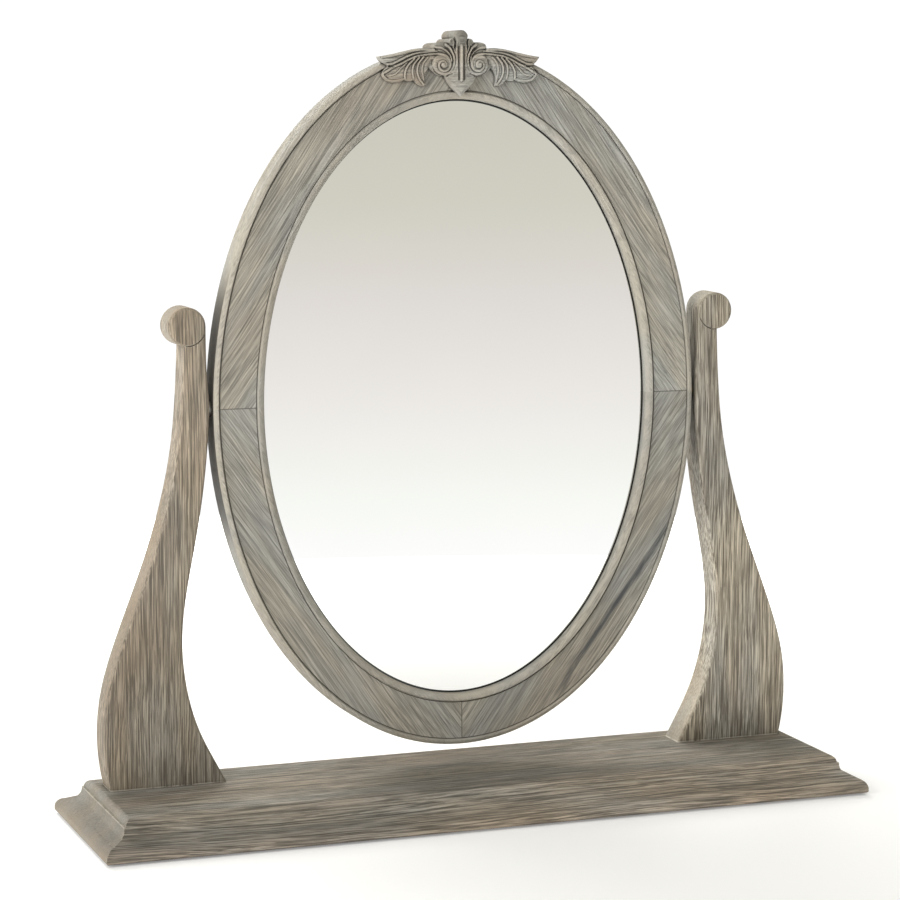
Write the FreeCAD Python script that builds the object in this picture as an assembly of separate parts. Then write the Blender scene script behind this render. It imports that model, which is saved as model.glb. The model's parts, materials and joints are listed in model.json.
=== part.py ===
import FreeCAD, Part
import math
import os

os.makedirs("parts", exist_ok=True)
V = FreeCAD.Vector

# Dressing-table mirror: an oval mirror tilts between two scrolled uprights on a moulded plinth.
# Origin: centre of the footprint on the table top. +X along the plinth, +Y to the back, +Z up. Sizes in mm.

# plinth
PLINTH_DEPTH = 216.0
PLINTH_THICK = 36.0
PAD_THICK = 2.0
PAD_RADIUS = 12.0
PAD_INSET = 32.0

# moulded edge: how far each point sits in from the nose and its height above the underside
UNDER_ROUND = 2.5
NOSE_TOP = 5.0
NOSE_IN = 9.0
NOSE_Z = 14.4
OGEE_IN = 19.0
OGEE_Z = 18.6
COVE_IN = 22.6
COVE_Z = 27.6
FILLET_RISE = 1.2
FILLET_STEP = 1.8
ROUND_IN = 31.0

# mirror frame: an oval rail described from its centre line, s outward and v back from the front face
FRAME_HALF_W = 256.0
FRAME_HALF_H = 351.0
RAIL_WIDTH = 52.0
RAIL_THICK = 31.0
LIP_DROP = 6.5
LIP_WIDTH = 7.4
BEAD_WIDTH = 5.2
FLAT_DROP = 1.8
STEP_SLOPE = 0.8
GROOVE = 1.6
GROOVE_DEPTH = 0.8
GLASS_LEVEL = 11.0
GLASS_THICK = 4.0
GLASS_COVER = 6.0
GLASS_GAP = 1.0
BOARD_THICK = 6.0
BOARD_LEDGE = 12.0
BACK_EASE = 2.0

# uprights
UPRIGHT_THICK = 33.0
PIVOT_GAP = 3.5
FRAME_CLEAR = 20.0
SCROLL_ABOVE_PIVOT = 81.5
SCROLL_RADIUS = 19.0
FOOT_MARGIN = 37.0
UPRIGHT_EASE = 3.0
SCROLL_LINE = 1.0
# outline of one upright: out from the pivot side, height as a share of the scroll's height
INNER_CURVE = [(-14.5, 0.0), (12.0, 0.115), (27.0, 0.242), (29.2, 0.32),
               (17.4, 0.507), (4.6, 0.684), (0.0, 0.828)]
OUTER_CURVE = [(27.5, 0.838), (32.5, 0.732), (43.2, 0.617), (57.7, 0.509),
               (75.3, 0.404), (92.6, 0.302), (105.3, 0.205), (109.4, 0.118), (103.5, 0.0)]
NECK_WIDTH = 24.8

# where the pivot line runs
PIVOT_BEFORE_BACK = 12.0
PIVOT_BEFORE_EDGE = 68.0
REST_LEAN = 1.3

# hardware
PIN_RADIUS = 4.0
PIN_RUNNING_GAP = 0.05
COLLAR_RADIUS = 7.5
COLLAR_THICK = 2.4
WASHER_RADIUS = 8.0
WASHER_THICK = 1.0
SIDE_PLAY = 0.3
FLANGE_RADIUS = 9.0
FLANGE_THICK = 1.5
SLEEVE_RADIUS = 6.0
SLEEVE_LENGTH = 15.0
SPOTFACE = 0.8
DOWEL_RADIUS = 5.0
DOWEL_LENGTH = 50.0
DOWEL_IN_PLINTH = 20.0
DOWEL_SPREAD = 32.0
FOOT_SCREW_SPREAD = 12.0
FOOT_MIDDLE = 50.5
FOOT_SCREW_SINK = 7.0
TENON_HALF = 25.0
TENON_IN = -4.0
TENON_WIDTH = 10.0
TENON_THICK = 8.0
TENON_LEVEL = 12.0
GLUE_GAP = 0.1
BOARD_SCREWS = 12
TIP_ROOM = 0.3
# screws: length, shank radius, head radius
FOOT_SCREW = (72.0, 2.75, 5.5)
BOARD_SCREW = (14.0, 1.5, 3.0)
CREST_SCREW_BITE = 2.5
CREST_SCREW = (RAIL_THICK + CREST_SCREW_BITE, 2.0, 4.0)
HEAD_CLEAR = 3.0

# crest carving: out from the middle, height above the frame's top edge
CREST_TOP = [(0.0, 15.4), (5.0, 14.0), (7.2, 10.2), (6.4, 6.8)]
CREST_LOBE = [(6.4, 6.8), (10.6, 6.9), (13.2, 3.4)]
CREST_LEAF = [(13.2, 3.4), (20.0, 3.6), (25.8, 1.8), (27.6, -2.6)]
CREST_WING = [(27.6, -2.6), (46.0, -3.0), (60.0, -6.0), (73.0, -8.8), (84.5, -10.5)]
CREST_TIP = [(84.5, -10.5), (80.6, -16.0), (75.0, -19.5)]
CREST_LOW_TIP = [(75.0, -19.5), (79.0, -23.0), (82.0, -27.8)]
CREST_LOW_LEAF = [(82.0, -27.8), (77.0, -34.0), (68.0, -36.0), (58.5, -33.0)]
CREST_FINGERS = [(58.5, -33.0), (54.0, -34.6), (48.5, -33.0)]
CREST_LONG_FINGER = [(48.5, -33.0), (43.0, -38.4), (36.5, -39.5)]
CREST_FINGER_IN = [(36.5, -39.5), (38.0, -30.0), (32.5, -21.0)]
CREST_UNDER_SCROLL = [(32.5, -21.0), (28.0, -25.5), (20.0, -28.2), (16.5, -28.0)]
CREST_SHIELD_SIDE = [(16.5, -28.0), (13.6, -35.0), (7.0, -43.0), (0.0, -49.5)]
CREST_FACE = 5.0
CREST_BACK = 8.0
SHIELD_FACE = 7.5
VOLUTE_FACE = 7.5
EYE_FACE = 9.5
RIB_FACE = 9.5
VOLUTE_AT = (19.2, -18.6)
VOLUTE_RADIUS = 10.8
EYE_RADIUS = 3.2
SPIRAL_TURNS = 1.25
SPIRAL_START = math.pi * 0.9
SPIRAL_STEPS = 15
SPIRAL_GOUGE = 1.2
BLOCK_FOOT = 11.4
RIB_LENGTH = 34.0
RIB_FOOT = -35.0
SHIELD_SIDE = [(6.4, 6.8), (7.4, 0.0), (7.6, -8.0)]
SHIELD_FLARE = [(7.6, -8.0), (6.6, -16.0), (9.0, -24.0), (16.5, -28.0)]
FLUTES = [[(31.0, -13.0), (38.0, -20.0), (39.5, -36.0)],
          [(36.0, -10.5), (46.0, -18.0), (48.5, -31.5)],
          [(42.0, -9.5), (55.0, -17.0), (60.0, -31.0)],
          [(48.0, -8.0), (64.0, -14.5), (77.0, -22.5)]]
FLUTE_RADIUS = 1.7

# lengths and heights that follow from the sizes above
PLINTH_TOP = PAD_THICK + PLINTH_THICK
PIVOT_RISE = FRAME_HALF_H + FRAME_CLEAR
PIVOT_Y = PLINTH_DEPTH / 2 - PIVOT_BEFORE_EDGE
PIVOT_Z = PLINTH_TOP + PIVOT_RISE
SCROLL_RISE = PIVOT_RISE + SCROLL_ABOVE_PIVOT
MID_HALF_W = FRAME_HALF_W - RAIL_WIDTH / 2
MID_HALF_H = FRAME_HALF_H - RAIL_WIDTH / 2
HALF_RAIL = RAIL_WIDTH / 2
FRAME_FRONT = PIVOT_Y + PIVOT_BEFORE_BACK - RAIL_THICK
FRAME_TOP = PIVOT_Z + FRAME_HALF_H
UPRIGHT_IN = FRAME_HALF_W + PIVOT_GAP
PLINTH_LENGTH = 2 * (UPRIGHT_IN + OUTER_CURVE[-1][0] + FOOT_MARGIN)
UPRIGHT_FRONT = PIVOT_Y - UPRIGHT_THICK / 2
GLASS_EDGE = GLASS_COVER - HALF_RAIL
BOARD_EDGE = GLASS_EDGE + BOARD_LEDGE
BOARD_LEVEL = GLASS_LEVEL + GLASS_THICK
FOOT_X = UPRIGHT_IN + FOOT_MIDDLE
X_AXIS = V(1, 0, 0)


def cylinder(radius, length, start, along):
    return Part.makeCylinder(radius, length, start, along)


def smooth(points, end_tangent=None):
    curve = Part.BSplineCurve()
    if end_tangent is None:
        curve.interpolate(points)
    else:
        start = (points[1] - points[0]).normalize()
        curve.interpolate(Points=points, InitialTangent=start, FinalTangent=end_tangent)
    return curve.toShape()


def arc3(a, b, c):
    return Part.Arc(a, b, c).toShape()


def line(a, b):
    return Part.makeLine(a, b)


def closed_face(edges):
    return Part.Face(Part.Wire(Part.__sortEdges__(edges)))


def other_side(shape):
    return shape.mirror(V(0, 0, 0), X_AXIS)


def both_sides(shape):
    return [shape, other_side(shape)]


def leaned(shape):
    result = shape.copy()
    result.rotate(V(0, PIVOT_Y, PIVOT_Z), X_AXIS, -REST_LEAN)
    return result


def save(name, shapes):
    body = shapes[0] if len(shapes) == 1 else Part.makeCompound(shapes)
    body.exportStep("parts/" + name + ".step")


def wood_screw(length, radius, head_radius):
    """Countersunk screw: flat of the head at z = 0, point down, crossed recess in the head."""
    head_height = head_radius - radius
    head = Part.makeCone(radius, head_radius, head_height, V(0, 0, -head_height))
    tip = radius * 2.5
    shank = cylinder(radius, length - tip, V(0, 0, tip - length), V(0, 0, 1))
    point = Part.makeCone(radius * 0.15, radius, tip, V(0, 0, -length))
    screw = head.fuse([shank, point])
    arm = radius * 1.5
    slot = radius * 0.45
    depth = head_height * 0.7
    for dx, dy in ((arm, slot), (slot, arm)):
        screw = screw.cut(Part.makeBox(2 * dx, 2 * dy, depth, V(-dx, -dy, -depth)))
    return screw


def screw_hole(length, radius, head_radius, sink):
    """Hole for wood_screw with glue gap all round; sink is how deep the head lies in the wood."""
    head_height = head_radius - radius
    wide = head_radius + GLUE_GAP
    narrow = radius + GLUE_GAP
    head = Part.makeCone(narrow, wide, head_height, V(0, 0, -head_height))
    mouth = cylinder(wide, sink + 1.0, V(0, 0, 0), V(0, 0, 1))
    reach = length + TIP_ROOM
    shank = cylinder(narrow, reach, V(0, 0, -reach), V(0, 0, 1))
    return head.fuse([mouth, shank])


def aimed(shape, at, direction):
    """Turn a shape made along +Z so that +Z points in direction, then move it."""
    result = shape.copy()
    result.Placement = FreeCAD.Placement(at, FreeCAD.Rotation(V(0, 0, 1), direction))
    return result


def driven(size, places):
    """The same screw at each place, driven in from the back."""
    return [aimed(wood_screw(*size), place, V(0, 1, 0)) for place in places]


def driven_holes(size, places):
    return [aimed(screw_hole(*size, HEAD_CLEAR), place, V(0, 1, 0)) for place in places]


# plinth

def edge_side(half, place, sign):
    """Moulded edge of the plinth from the underside to the top, on one side."""
    def at(inset, height):
        return place(sign * (half - inset), PAD_THICK + height)
    bow = UNDER_ROUND * (1 - math.sqrt(0.5))
    fillet = COVE_Z + FILLET_RISE
    round_start = COVE_IN + FILLET_STEP
    return [
        arc3(at(UNDER_ROUND, 0), at(bow, bow), at(0, UNDER_ROUND)),
        line(at(0, UNDER_ROUND), at(0, NOSE_TOP)),
        arc3(at(0, NOSE_TOP), at(NOSE_IN * 0.3, NOSE_Z * 0.77), at(NOSE_IN, NOSE_Z)),
        line(at(NOSE_IN, NOSE_Z), at(OGEE_IN, OGEE_Z)),
        arc3(at(OGEE_IN, OGEE_Z), at(COVE_IN - 0.7, (OGEE_Z + COVE_Z) / 2), at(COVE_IN, COVE_Z)),
        line(at(COVE_IN, COVE_Z), at(COVE_IN, fillet)),
        line(at(COVE_IN, fillet), at(round_start, fillet)),
        arc3(at(round_start, fillet),
             at(round_start + 2.0, fillet + (PLINTH_THICK - fillet) * 0.68),
             at(ROUND_IN, PLINTH_THICK)),
    ]


def moulded_bar(half, place, along, length):
    edges = edge_side(half, place, 1) + edge_side(half, place, -1)
    for inset, height in ((UNDER_ROUND, 0), (ROUND_IN, PLINTH_THICK)):
        level = PAD_THICK + height
        edges.append(line(place(half - inset, level), place(inset - half, level)))
    return closed_face(edges).extrude(along * length)


def make_plinth():
    half_x = PLINTH_LENGTH / 2
    half_y = PLINTH_DEPTH / 2
    long_bar = moulded_bar(half_y, lambda h, z: V(-half_x, h, z), X_AXIS, PLINTH_LENGTH)
    cross_bar = moulded_bar(half_x, lambda h, z: V(h, -half_y, z), V(0, 1, 0), PLINTH_DEPTH)
    board = long_bar.common(cross_bar)
    cutters = []
    for hole in dowel_holes() + foot_screw_holes():
        cutters += both_sides(hole)
    return board.cut(cutters)


def dowel_places():
    return [V(FOOT_X + d, PIVOT_Y, PLINTH_TOP - DOWEL_IN_PLINTH) for d in (-DOWEL_SPREAD, DOWEL_SPREAD)]


def dowel_holes():
    drop = V(0, 0, GLUE_GAP)
    return [cylinder(DOWEL_RADIUS + GLUE_GAP, DOWEL_LENGTH + 2 * GLUE_GAP, p - drop, V(0, 0, 1))
            for p in dowel_places()]


def make_dowels():
    dowels = []
    for place in dowel_places():
        peg = cylinder(DOWEL_RADIUS, DOWEL_LENGTH, place, V(0, 0, 1))
        peg = peg.makeChamfer(1.0, [e for e in peg.Edges if len(e.Vertexes) == 1])
        dowels += both_sides(peg)
    return dowels


def foot_screw_places():
    level = PAD_THICK + FOOT_SCREW_SINK
    return [V(FOOT_X + d, PIVOT_Y, level) for d in (-FOOT_SCREW_SPREAD, FOOT_SCREW_SPREAD)]


def foot_screw_holes():
    hole = screw_hole(*FOOT_SCREW, FOOT_SCREW_SINK)
    return [aimed(hole, p, V(0, 0, -1)) for p in foot_screw_places()]


def make_foot_screws():
    screws = []
    for place in foot_screw_places():
        screws += both_sides(aimed(wood_screw(*FOOT_SCREW), place, V(0, 0, -1)))
    return screws


def make_pads():
    far_x = PLINTH_LENGTH / 2 - PAD_INSET
    far_y = PLINTH_DEPTH / 2 - PAD_INSET
    return [cylinder(PAD_RADIUS, PAD_THICK, V(x, y, 0), V(0, 0, 1))
            for x in (-far_x, 0, far_x) for y in (-far_y, far_y)]


# uprights

def upright_outline():
    def at(out, share):
        return V(UPRIGHT_IN + out, UPRIGHT_FRONT, PLINTH_TOP + share * SCROLL_RISE)
    centre = V(UPRIGHT_IN + 3.0 + SCROLL_RADIUS, UPRIGHT_FRONT, PLINTH_TOP + SCROLL_RISE)
    inner_top = centre - V(SCROLL_RADIUS, 0, 0)
    neck_x = NECK_WIDTH - 3.0 - SCROLL_RADIUS
    neck = centre + V(neck_x, 0, -math.sqrt(SCROLL_RADIUS ** 2 - neck_x ** 2))
    inner = smooth([at(*p) for p in INNER_CURVE] + [inner_top], V(0, 0, 1))
    outer = smooth([neck] + [at(*p) for p in OUTER_CURVE])
    crown = centre + V(math.sqrt(0.5), 0, math.sqrt(0.5)) * SCROLL_RADIUS
    scroll = arc3(inner_top, crown, neck)
    foot = line(at(*OUTER_CURVE[-1]), at(*INNER_CURVE[0]))
    return closed_face([inner, scroll, outer, foot]), centre


def scroll_ring(centre, y):
    """Shallow line cut round the scroll, on the front or the back."""
    outside = cylinder(SCROLL_RADIUS + 0.3, SCROLL_LINE, V(centre.x, y, centre.z), V(0, 1, 0))
    inside = cylinder(SCROLL_RADIUS - SCROLL_LINE, SCROLL_LINE, V(centre.x, y, centre.z), V(0, 1, 0))
    return outside.cut(inside)


def make_upright():
    face, centre = upright_outline()
    board = face.extrude(V(0, UPRIGHT_THICK, 0))
    back = UPRIGHT_FRONT + UPRIGHT_THICK
    faces_y = (UPRIGHT_FRONT, back)
    long_edges = [e for e in board.Edges
                  if e.BoundBox.YLength < 0.01 and e.BoundBox.ZLength > 5.0
                  and e.BoundBox.ZMax < centre.z + 1.0]
    board = board.makeFillet(UPRIGHT_EASE, long_edges)
    cutters = [scroll_ring(centre, faces_y[0]), scroll_ring(centre, back - SCROLL_LINE)]
    cutters += dowel_holes() + foot_screw_holes() + [bush_hole()]
    return board.cut(cutters)


# pivot hardware, made for the right side; all of it is turned about the pivot line

def on_pivot(radius, start, length):
    return cylinder(radius, length, V(start, PIVOT_Y, PIVOT_Z), X_AXIS)


FRAME_FLAT = FRAME_HALF_W - SPOTFACE
COLLAR_END = FRAME_FLAT + COLLAR_THICK
WASHER_END = COLLAR_END + WASHER_THICK
FLANGE_START = WASHER_END + SIDE_PLAY
FLANGE_END = FLANGE_START + FLANGE_THICK
BORE_RADIUS = PIN_RADIUS + PIN_RUNNING_GAP


def bush_hole():
    seat = on_pivot(FLANGE_RADIUS + GLUE_GAP, FLANGE_END - 4.0, 4.0)
    sleeve = on_pivot(SLEEVE_RADIUS + GLUE_GAP, FLANGE_END, SLEEVE_LENGTH + GLUE_GAP)
    return seat.fuse(sleeve)


def make_bush():
    flange = on_pivot(FLANGE_RADIUS, FLANGE_START, FLANGE_THICK)
    sleeve = on_pivot(SLEEVE_RADIUS, FLANGE_END, SLEEVE_LENGTH)
    return flange.fuse(sleeve).cut(on_pivot(BORE_RADIUS, FLANGE_START - 1, SLEEVE_LENGTH + 4))


def make_insert():
    body = on_pivot(SLEEVE_RADIUS, FRAME_FLAT - SLEEVE_LENGTH, SLEEVE_LENGTH)
    return body.cut(on_pivot(PIN_RADIUS, FRAME_FLAT - SLEEVE_LENGTH + 1.5, SLEEVE_LENGTH))


def make_pin():
    start = FRAME_FLAT - SLEEVE_LENGTH + 2.0
    shaft = on_pivot(PIN_RADIUS, start, FLANGE_END + SLEEVE_LENGTH - 2.0 - start)
    tip = [e for e in shaft.Edges if len(e.Vertexes) == 1]
    shaft = shaft.makeChamfer(0.6, tip)
    return shaft.fuse(on_pivot(COLLAR_RADIUS, FRAME_FLAT, COLLAR_THICK))


def make_washer():
    disc = on_pivot(WASHER_RADIUS, COLLAR_END, WASHER_THICK)
    return disc.cut(on_pivot(PIN_RADIUS + GLUE_GAP, COLLAR_END - 1, WASHER_THICK + 2))


def insert_hole():
    flat = on_pivot(COLLAR_RADIUS + 1.5, FRAME_FLAT, SPOTFACE + 2)
    return flat.fuse(on_pivot(SLEEVE_RADIUS + GLUE_GAP, FRAME_FLAT - SLEEVE_LENGTH - GLUE_GAP,
                              SLEEVE_LENGTH + 1))


# mirror frame

def rail_point(s, v):
    """A point on the section at the top of the oval."""
    return V(0, FRAME_FRONT + v, PIVOT_Z + MID_HALF_H + s)


def quarter_sweep(edges):
    """Sweep a section from the top of the oval round to its right-hand side."""
    centre = V(0, FRAME_FRONT, PIVOT_Z)
    oval = Part.Ellipse(centre + V(0, 0, MID_HALF_H), centre + V(MID_HALF_W, 0, 0), centre)
    path = Part.Wire([Part.ArcOfEllipse(oval, 0, math.pi / 2).toShape()])
    pipe = Part.BRepOffsetAPI.MakePipeShell(path)
    pipe.setBiNormalMode(V(0, 1, 0))
    pipe.add(Part.Wire(Part.__sortEdges__(edges)))
    pipe.build()
    pipe.makeSolid()
    return pipe.shape()


def rail_section():
    lip_end = -HALF_RAIL + LIP_WIDTH
    bead_start = HALF_RAIL - BEAD_WIDTH
    p = rail_point
    points = [p(-HALF_RAIL, GLASS_LEVEL), p(-HALF_RAIL, LIP_DROP)]
    lip = arc3(points[-1], p(-HALF_RAIL + 1.9, 1.9), p(lip_end - STEP_SLOPE, 0))
    bottom = FLAT_DROP + GROOVE_DEPTH
    flat = [p(lip_end - STEP_SLOPE, 0), p(lip_end, FLAT_DROP), p(lip_end + GROOVE / 2, bottom),
            p(lip_end + GROOVE, FLAT_DROP), p(bead_start - GROOVE, FLAT_DROP),
            p(bead_start - GROOVE / 2, bottom), p(bead_start, FLAT_DROP), p(bead_start + STEP_SLOPE, 0)]
    bead = arc3(flat[-1], p(HALF_RAIL - 1.2, 1.5), p(HALF_RAIL, BEAD_WIDTH))
    back = [p(HALF_RAIL, BEAD_WIDTH), p(HALF_RAIL, RAIL_THICK - BACK_EASE),
            p(HALF_RAIL - BACK_EASE, RAIL_THICK), p(BOARD_EDGE, RAIL_THICK),
            p(BOARD_EDGE, BOARD_LEVEL), p(GLASS_EDGE, BOARD_LEVEL), p(GLASS_EDGE, GLASS_LEVEL),
            p(-HALF_RAIL, GLASS_LEVEL)]
    edges = [line(points[0], points[1]), lip, bead]
    for run in (flat, back):
        edges += [line(a, b) for a, b in zip(run, run[1:])]
    return edges


def over_rail():
    """The room the rail takes under the crest, with a glue gap."""
    p = rail_point
    reach = HALF_RAIL + GLUE_GAP
    flat_in = LIP_WIDTH - HALF_RAIL + GLUE_GAP
    flat_out = HALF_RAIL - BEAD_WIDTH - GLUE_GAP
    behind = RAIL_THICK + 5
    corners = [p(-2 * HALF_RAIL, 0), p(flat_in, 0), p(flat_in, FLAT_DROP), p(flat_out, FLAT_DROP),
               p(flat_out, 0), p(reach, 0), p(reach, behind), p(-2 * HALF_RAIL, behind)]
    quarter = quarter_sweep([line(a, b) for a, b in zip(corners, corners[1:] + corners[:1])])
    return both_sides(quarter)


def tenon_shape(grow):
    """Loose tenon across the top joint."""
    x = TENON_HALF + grow
    start = rail_point(TENON_IN - grow, TENON_LEVEL - grow)
    return Part.makeBox(2 * x, TENON_THICK + 2 * grow, TENON_WIDTH + 2 * grow, start - V(x, 0, 0))


def around_joints(grow):
    """The tenon at the top, bottom, right and left joints."""
    top = tenon_shape(grow)
    bottom = top.mirror(V(0, 0, PIVOT_Z), V(0, 0, 1))
    right = tenon_shape(grow)
    right.rotate(V(0, 0, PIVOT_Z), V(0, 1, 0), 90)
    right.translate(V(FRAME_HALF_W - FRAME_HALF_H, 0, 0))
    return [top, bottom, right, other_side(right)]


def board_screw_places():
    s = (GLASS_EDGE + BOARD_EDGE - GLASS_GAP) / 2
    places = []
    for i in range(BOARD_SCREWS):
        angle = 2 * math.pi * (i + 0.5) / BOARD_SCREWS
        x = (MID_HALF_W + s) * math.sin(angle)
        z = (MID_HALF_H + s) * math.cos(angle)
        places.append(V(x, FRAME_FRONT + BOARD_LEVEL + BOARD_THICK, PIVOT_Z + z))
    return places


def crest_screw_places():
    places = []
    for x, low in ((0, 14.0), (-45.0, 25.0), (45.0, 25.0)):
        places.append(V(x, FRAME_FRONT + RAIL_THICK, FRAME_TOP - low))
    return places


def make_quadrants():
    rail = quarter_sweep(rail_section())
    cutters = around_joints(GLUE_GAP)
    cutters += both_sides(insert_hole())
    cutters += driven_holes(BOARD_SCREW, board_screw_places())
    cutters += driven_holes(CREST_SCREW, crest_screw_places())
    quadrants = {}
    for low in (False, True):
        for left in (False, True):
            piece = rail
            if low:
                piece = piece.mirror(V(0, 0, PIVOT_Z), V(0, 0, 1))
            if left:
                piece = other_side(piece)
            name = "frame_" + ("lower" if low else "upper") + ("_left" if left else "_right")
            near = [c for c in cutters if c.BoundBox.intersect(piece.BoundBox)]
            quadrants[name] = piece.cut(near)
    return quadrants


def oval_plate(edge, level, thick):
    centre = V(0, FRAME_FRONT + level, PIVOT_Z)
    oval = Part.Ellipse(centre + V(0, 0, MID_HALF_H + edge), centre + V(MID_HALF_W + edge, 0, 0), centre)
    return Part.Face(Part.Wire([oval.toShape()])).extrude(V(0, thick, 0))


def make_glass():
    return oval_plate(GLASS_EDGE - GLASS_GAP, GLASS_LEVEL, GLASS_THICK)


def make_board():
    board = oval_plate(BOARD_EDGE - GLASS_GAP, BOARD_LEVEL, BOARD_THICK)
    return board.cut(driven_holes(BOARD_SCREW, board_screw_places()))


# crest

def crest_point(out, up, v=0.0):
    return V(out, FRAME_FRONT + v, FRAME_TOP + up)


def curve_of(points, v=0.0):
    return smooth([crest_point(x, z, v) for x, z in points])


def mirrored_outline(runs):
    edges = [curve_of(run) for run in runs]
    return edges + [other_side(e) for e in edges]


def slab(edges, front, back):
    """Extrude an outline from front (before the frame's face) to back (behind it)."""
    solid = closed_face(edges).extrude(V(0, front + back, 0))
    solid.translate(V(0, -front, 0))
    return solid


def volute(sign):
    x = sign * VOLUTE_AT[0]
    return [cylinder(radius, proud, crest_point(x, VOLUTE_AT[1], -proud), V(0, 1, 0))
            for radius, proud in ((VOLUTE_RADIUS, VOLUTE_FACE), (EYE_RADIUS, EYE_FACE))]


def volute_groove(sign):
    """Spiral gouge cut into the face of a volute, winding in towards its eye."""
    outer = VOLUTE_RADIUS - 1.5
    inner = EYE_RADIUS + 1.4
    points = []
    for i in range(SPIRAL_STEPS + 1):
        share = i / SPIRAL_STEPS
        angle = SPIRAL_START - SPIRAL_TURNS * 2 * math.pi * share
        radius = outer + (inner - outer) * share
        x = sign * (VOLUTE_AT[0] + radius * math.cos(angle))
        points.append(crest_point(x, VOLUTE_AT[1] + radius * math.sin(angle), -VOLUTE_FACE))
    return gouge(smooth(points), points, SPIRAL_GOUGE)


def gouge(path, points, radius):
    start = (points[1] - points[0]).normalize()
    ring = Part.Wire([Part.Circle(points[0], start, radius).toShape()])
    return Part.Wire([path]).makePipeShell([ring], True, False)


def flute_cutters():
    cutters = []
    for run in FLUTES:
        for sign in (1, -1):
            points = [crest_point(sign * x, z, -CREST_FACE) for x, z in run]
            cutters.append(gouge(smooth(points), points, FLUTE_RADIUS))
    return cutters


def make_crest():
    head = [CREST_TOP, CREST_LOBE, CREST_LEAF]
    wing = [CREST_WING, CREST_TIP, CREST_LOW_TIP, CREST_LOW_LEAF, CREST_FINGERS,
            CREST_LONG_FINGER, CREST_FINGER_IN, CREST_UNDER_SCROLL]
    plate = slab(mirrored_outline(head + wing + [CREST_SHIELD_SIDE]), CREST_FACE, CREST_BACK)
    plate = plate.cut(over_rail() + flute_cutters())
    shield_runs = [CREST_TOP, SHIELD_SIDE, SHIELD_FLARE, CREST_SHIELD_SIDE]
    shield = slab(mirrored_outline(shield_runs), SHIELD_FACE, 0.0)
    rib = cylinder(RIB_FACE - SHIELD_FACE, RIB_LENGTH, crest_point(0, RIB_FOOT, -SHIELD_FACE), V(0, 0, 1))
    parts = [shield, rib] + volute(1) + volute(-1)
    crest = plate.fuse(parts)
    crest = crest.cut([volute_groove(1), volute_groove(-1)])
    return crest.cut(driven_holes(CREST_SCREW, crest_screw_places())).removeSplitter()


def make_crest_block():
    """Backing block on the frame's top edge behind the middle of the carving."""
    side, low = CREST_LEAF[-1]
    foot = low - BLOCK_FOOT
    corners = [crest_point(x, z) for x, z in ((side, low), (side, foot), (-side, foot), (-side, low))]
    edges = mirrored_outline([CREST_TOP, CREST_LOBE, CREST_LEAF])
    edges += [line(a, b) for a, b in zip(corners, corners[1:])]
    block = closed_face(edges).extrude(V(0, RAIL_THICK - CREST_BACK, 0))
    block.translate(V(0, CREST_BACK, 0))
    return block.cut(over_rail())


save("plinth", [make_plinth()])
right_upright = make_upright()
save("right_upright", [right_upright])
save("left_upright", [other_side(right_upright)])
save("upright_dowels", make_dowels())
save("upright_screws", make_foot_screws())
save("felt_pads", make_pads())
save("pivot_bushes", both_sides(make_bush()))

for name, piece in make_quadrants().items():
    save(name, [leaned(piece)])
save("frame_tenons", [leaned(t) for t in around_joints(0.0)])
save("mirror_glass", [leaned(make_glass())])
save("backing_board", [leaned(make_board())])
save("backing_screws", [leaned(screw) for screw in driven(BOARD_SCREW, board_screw_places())])
save("crest_carving", [leaned(make_crest())])
save("crest_block", [leaned(make_crest_block())])
save("crest_screws", [leaned(screw) for screw in driven(CREST_SCREW, crest_screw_places())])
save("pivot_inserts", [leaned(s) for s in both_sides(make_insert())])
save("pivot_pins", [leaned(s) for s in both_sides(make_pin())])
save("friction_washers", [leaned(s) for s in both_sides(make_washer())])
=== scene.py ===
import json
import math

import bmesh
import bpy
import numpy as np
from mathutils import Euler, Matrix, Vector
from mathutils.bvhtree import BVHTree


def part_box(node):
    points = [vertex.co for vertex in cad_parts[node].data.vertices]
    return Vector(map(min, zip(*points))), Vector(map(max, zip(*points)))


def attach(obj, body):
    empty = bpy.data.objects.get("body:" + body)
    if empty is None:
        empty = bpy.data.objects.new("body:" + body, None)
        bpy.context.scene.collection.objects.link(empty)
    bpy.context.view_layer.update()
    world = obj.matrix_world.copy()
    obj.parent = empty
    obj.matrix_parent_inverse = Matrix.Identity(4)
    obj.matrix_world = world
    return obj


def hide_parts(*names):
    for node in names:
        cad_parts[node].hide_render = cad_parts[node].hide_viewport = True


# Looks of a weathered-oak dressing-table mirror: oval mirror, two scrolled uprights, moulded plinth.
# Metres, +X along the plinth, +Y to the back, +Z up.

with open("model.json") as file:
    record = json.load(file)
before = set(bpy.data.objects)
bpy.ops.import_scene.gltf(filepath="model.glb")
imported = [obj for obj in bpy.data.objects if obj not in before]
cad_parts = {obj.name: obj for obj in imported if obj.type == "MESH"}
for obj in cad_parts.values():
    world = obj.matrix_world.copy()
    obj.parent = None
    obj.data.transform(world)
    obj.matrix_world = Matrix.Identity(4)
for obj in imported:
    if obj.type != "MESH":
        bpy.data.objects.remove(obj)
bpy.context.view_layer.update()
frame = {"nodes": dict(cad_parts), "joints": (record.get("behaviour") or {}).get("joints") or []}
nodes = frame["nodes"]
MM = 0.001

# The pivot line comes from the imported frame; the mirror's lean at rest is given.
tilt = frame["joints"][0]
PIVOT = Vector(tilt["pos_m"])
QUARTER = math.pi / 2
REST_LEAN = 1.3
RAIL_MID_W = 0.230
RAIL_MID_H = 0.325
RAIL_SLOPE = math.atan2(RAIL_MID_H, RAIL_MID_W)
FOOT_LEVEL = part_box("left_upright")[0][2]
CREST_RISE = 15.4
CREST_BACK = 8.0
FLAT_DROP = 1.8
OVAL_HALF_W = 0.256


# ---------------------------------------------------------------- node helpers

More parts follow.
